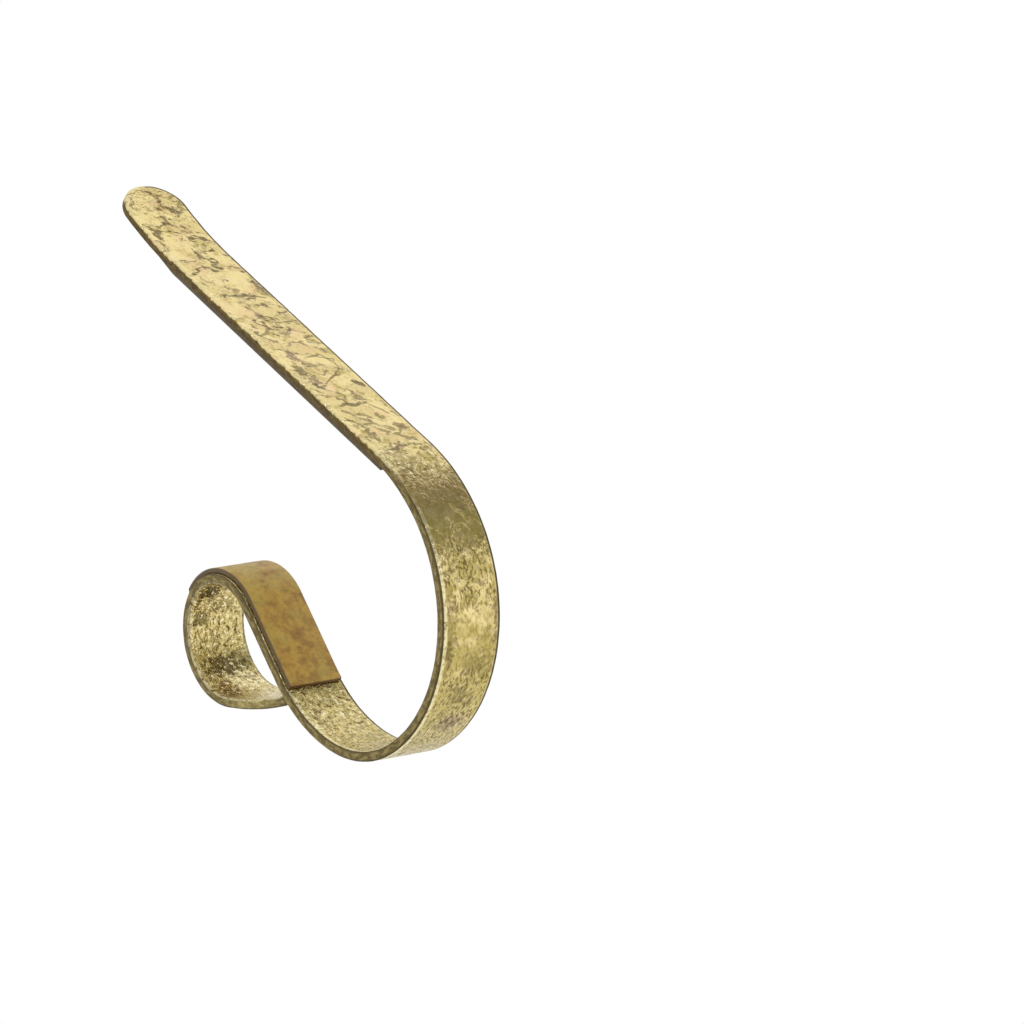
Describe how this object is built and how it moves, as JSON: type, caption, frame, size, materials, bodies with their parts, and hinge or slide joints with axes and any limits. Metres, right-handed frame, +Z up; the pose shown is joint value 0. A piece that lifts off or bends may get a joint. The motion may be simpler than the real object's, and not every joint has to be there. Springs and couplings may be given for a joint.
{
  "type": "mantel stocking holder",
  "caption": "Gold strip hook that clips over a mantel edge: flat arm with upturned tip, deep front bend and cup, rising to a closed scroll, with non-slip pads under the arm and over the scroll.",
  "frame": {"origin": "middle of the arm pad's underside, the face that lies on the mantel shelf", "axes": "+Z up, +Y towards the wall along the arm to its tip, +X across the strip"},
  "size_m": [0.016, 0.1444, 0.0867],
  "materials": {
    "gold_leaf": "antique gold leaf with brown crevices",
    "pad": "smooth mottled brown gold"
  },
  "bodies": {
    "root": {"hook_strip": "gold_leaf", "arm_pad": "pad", "scroll_pad": "pad"}
  },
  "joints": []
}
